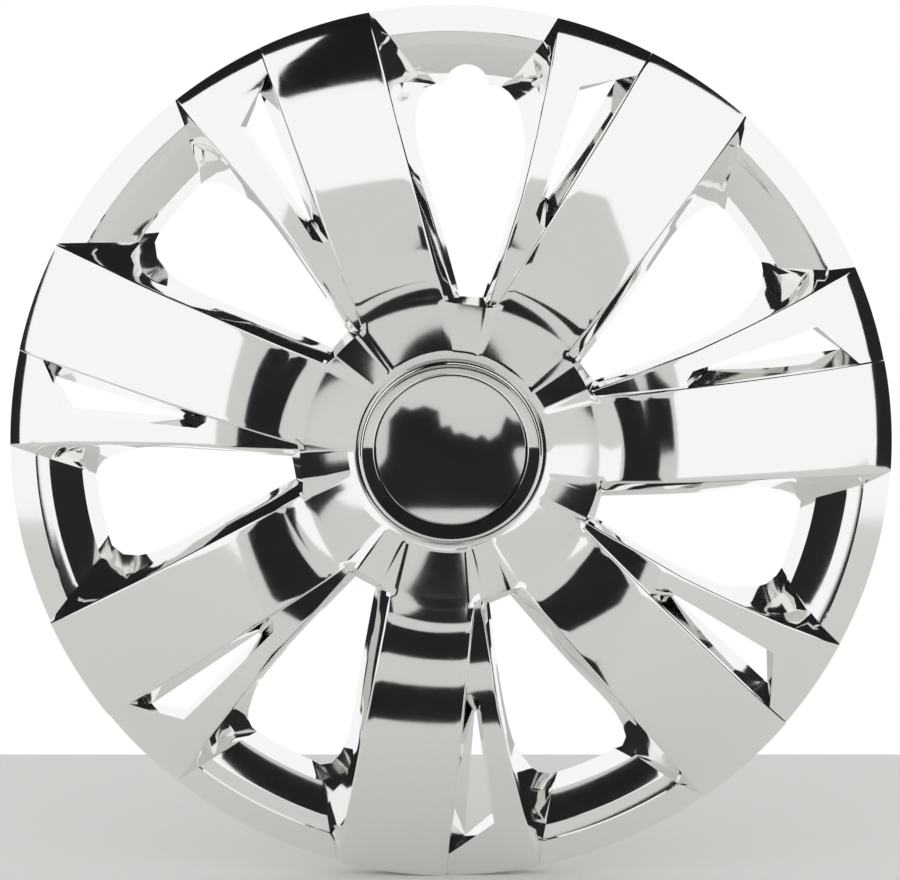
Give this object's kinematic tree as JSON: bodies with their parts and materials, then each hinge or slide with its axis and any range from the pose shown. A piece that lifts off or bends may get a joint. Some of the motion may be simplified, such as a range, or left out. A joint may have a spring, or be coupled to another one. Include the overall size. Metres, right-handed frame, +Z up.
{
  "type": "wheel cover",
  "caption": "Chrome-plated bladed wheel cover with open windows, slotted blades, a domed bare centre, a valve notch and snap legs behind, pressed onto a car's steel wheel.",
  "frame": {"origin": "on the wheel axis, in the plane of the rim band's face", "axes": "+Y along the wheel axis into the wheel, so the face looks to -Y; +Z up through the valve notch's side; +X to the right seen from the front"},
  "size_m": [0.4, 0.0512, 0.4],
  "materials": {
    "chrome_plating": "bright chrome plating on moulded plastic, lightly worn"
  },
  "bodies": {
    "root": {"wheel_cover": "chrome_plating"}
  },
  "joints": []
}
